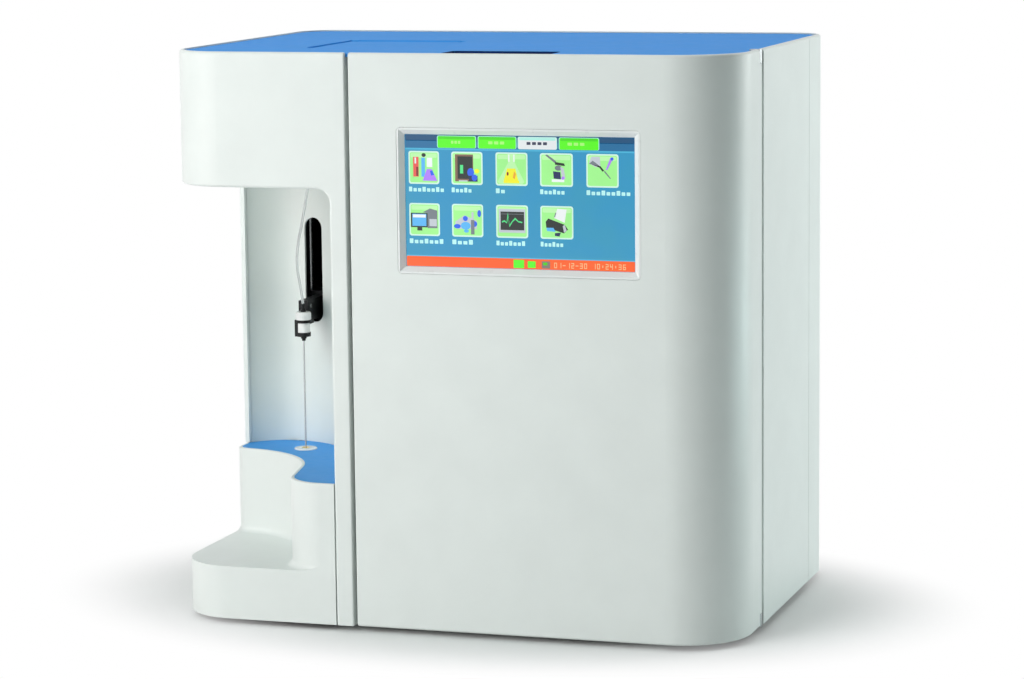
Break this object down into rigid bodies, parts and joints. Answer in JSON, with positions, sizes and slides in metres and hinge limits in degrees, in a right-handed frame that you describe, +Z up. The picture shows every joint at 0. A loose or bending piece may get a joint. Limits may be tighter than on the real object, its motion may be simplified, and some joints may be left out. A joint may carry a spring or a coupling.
{
  "type": "electrolyte analyzer",
  "caption": "Bench-top electrolyte analyzer: pale casing with a blue top, an open sampling bay with a needle over a blue platform, a hinged front door with a touch screen, and a top printer.",
  "frame": {"origin": "centre of the overall box in plan, at the underside of the feet", "axes": "+X to the right seen from the front, +Y to the back, +Z up"},
  "size_m": [0.388, 0.27, 0.383],
  "materials": {
    "casing": "fine-textured moulded plastic",
    "blue_top": "satin blue",
    "blue_inlay": "satin blue",
    "bay_wall": "fine-textured moulded plastic",
    "bezel": "fine-textured moulded plastic",
    "glass": "clear cover over a dark panel",
    "display": "plain",
    "sheet_metal": "zinc plated",
    "steel": "polished",
    "black_plastic": "satin black",
    "white_plastic": "satin white",
    "grey_plastic": "satin grey",
    "tube": "clear flexible tube",
    "electrode_body": "clear-cast plastic",
    "reference_body": "clear-cast plastic",
    "rubber": "matt",
    "board": "solder mask",
    "paper": "paper",
    "pack": "card and plastic",
    "knob": "satin blue"
  },
  "bodies": {
    "casing": {"base_plate": "sheet_metal", "bay_liner": "bay_wall", "bulkhead": "sheet_metal", "drive_frame": "sheet_metal", "electrode_holder": "grey_plastic", "electrode_pusher": "white_plastic", "electrodes": "electrode_body", "guide_rods": "steel", "hinge_bracket_lower": "sheet_metal", "hinge_bracket_upper": "sheet_metal", "left_front_cover": "casing", "left_side_cover": "casing", "magnet_catch": "black_plastic", "main_board": "board", "mains_inlet": "black_plastic", "needle_motor": "black_plastic", "paper_roll": "paper", "platform_inlay": "blue_inlay", "port_board": "board", "power_supply": "sheet_metal", "printer_bucket": "black_plastic", "printer_mechanism": "black_plastic", "pump_housing": "grey_plastic", "pump_motor": "steel", "pump_tube": "tube", "reagent_pack": "pack", "rear_cover": "casing", "rear_screws": "steel", "reference_electrode": "reference_body", "right_side_cover": "casing", "rinse_port": "white_plastic", "rubber_feet": "rubber", "sample_base": "casing", "sample_tube": "tube", "slot_shroud": "black_plastic", "switch_body": "black_plastic", "top_panel": "blue_top", "valve_1": "white_plastic", "valve_2": "white_plastic"},
    "door": {"door": "casing", "screen_bezel": "bezel", "touch_glass": "glass", "display_module": "display", "screen_carrier": "black_plastic"},
    "printer_lid": {"printer_lid": "blue_top", "lid_hinge_pin": "steel"},
    "platen": {"platen_roller": "rubber"},
    "needle_unit": {"needle": "steel", "needle_holder": "grey_plastic", "needle_arm": "black_plastic", "needle_carriage": "black_plastic"},
    "lead_screw": {"lead_screw": "steel"},
    "pump_rotor": {"pump_rotor": "black_plastic"},
    "roller_1": {"pump_roller_1": "white_plastic"},
    "roller_2": {"pump_roller_2": "white_plastic"},
    "roller_3": {"pump_roller_3": "white_plastic"},
    "electrode_lock": {"electrode_lock": "knob"},
    "switch_rocker": {"switch_rocker": "black_plastic"},
    "valve_plunger_1": {"valve_plunger_1": "steel"},
    "valve_plunger_2": {"valve_plunger_2": "steel"}
  },
  "joints": [
    {"name": "door_hinge", "type": "hinge", "parent": "casing", "child": "door", "pos_m": [0.19, -0.065, 0.19], "axis": [0, 0, 1], "range_deg": [0, 110]},
    {"name": "printer_lid_hinge", "type": "hinge", "parent": "casing", "child": "printer_lid", "pos_m": [-0.075, 0.0201, 0.3803], "axis": [-1, 0, 0], "range_deg": [0, 100]},
    {"name": "platen_spin", "type": "hinge", "parent": "printer_lid", "child": "platen", "pos_m": [-0.075, -0.061, 0.3735], "axis": [1, 0, 0], "continuous": true},
    {"name": "needle_slide", "type": "slide", "parent": "casing", "child": "needle_unit", "axis": [0, 0, 1], "range_m": [0, 0.052], "deforming": ["sample_tube"]},
    {"name": "lead_screw_spin", "type": "hinge", "parent": "casing", "child": "lead_screw", "pos_m": [-0.1462, 0.04, 0.22], "axis": [0, 0, 1], "continuous": true},
    {"name": "pump_spin", "type": "hinge", "parent": "casing", "child": "pump_rotor", "pos_m": [0.122, -0.075, 0.172], "axis": [0, 1, 0], "continuous": true},
    {"name": "electrode_lock_turn", "type": "hinge", "parent": "casing", "child": "electrode_lock", "pos_m": [0.0845, -0.083, 0.228], "axis": [1, 0, 0], "range_deg": [0, 90]},
    {"name": "switch_rocker_tilt", "type": "hinge", "parent": "casing", "child": "switch_rocker", "pos_m": [0.132, 0.13, 0.102], "axis": [1, 0, 0], "range_deg": [-18, 0]},
    {"name": "pump_roller_1_spin", "type": "hinge", "parent": "pump_rotor", "child": "roller_1", "pos_m": [0.122, -0.075, 0.1892], "axis": [0, 1, 0], "continuous": true},
    {"name": "pump_roller_2_spin", "type": "hinge", "parent": "pump_rotor", "child": "roller_2", "pos_m": [0.1071, -0.075, 0.1634], "axis": [0, 1, 0], "continuous": true},
    {"name": "pump_roller_3_spin", "type": "hinge", "parent": "pump_rotor", "child": "roller_3", "pos_m": [0.1369, -0.075, 0.1634], "axis": [0, 1, 0], "continuous": true},
    {"name": "valve_plunger_1_slide", "type": "slide", "parent": "casing", "child": "valve_plunger_1", "axis": [0, -1, 0], "range_m": [0, 0.005], "stiffness_N_per_m": 300},
    {"name": "valve_plunger_2_slide", "type": "slide", "parent": "casing", "child": "valve_plunger_2", "axis": [0, -1, 0], "range_m": [0, 0.005], "stiffness_N_per_m": 300}
  ],
  "couplings": [
    {"joint": "lead_screw_spin", "follows": "needle_slide", "rad_per_m": 1256.6},
    {"joint": "pump_roller_1_spin", "follows": "pump_spin", "ratio": -4.44},
    {"joint": "pump_roller_2_spin", "follows": "pump_spin", "ratio": -4.44},
    {"joint": "pump_roller_3_spin", "follows": "pump_spin", "ratio": -4.44}
  ]
}
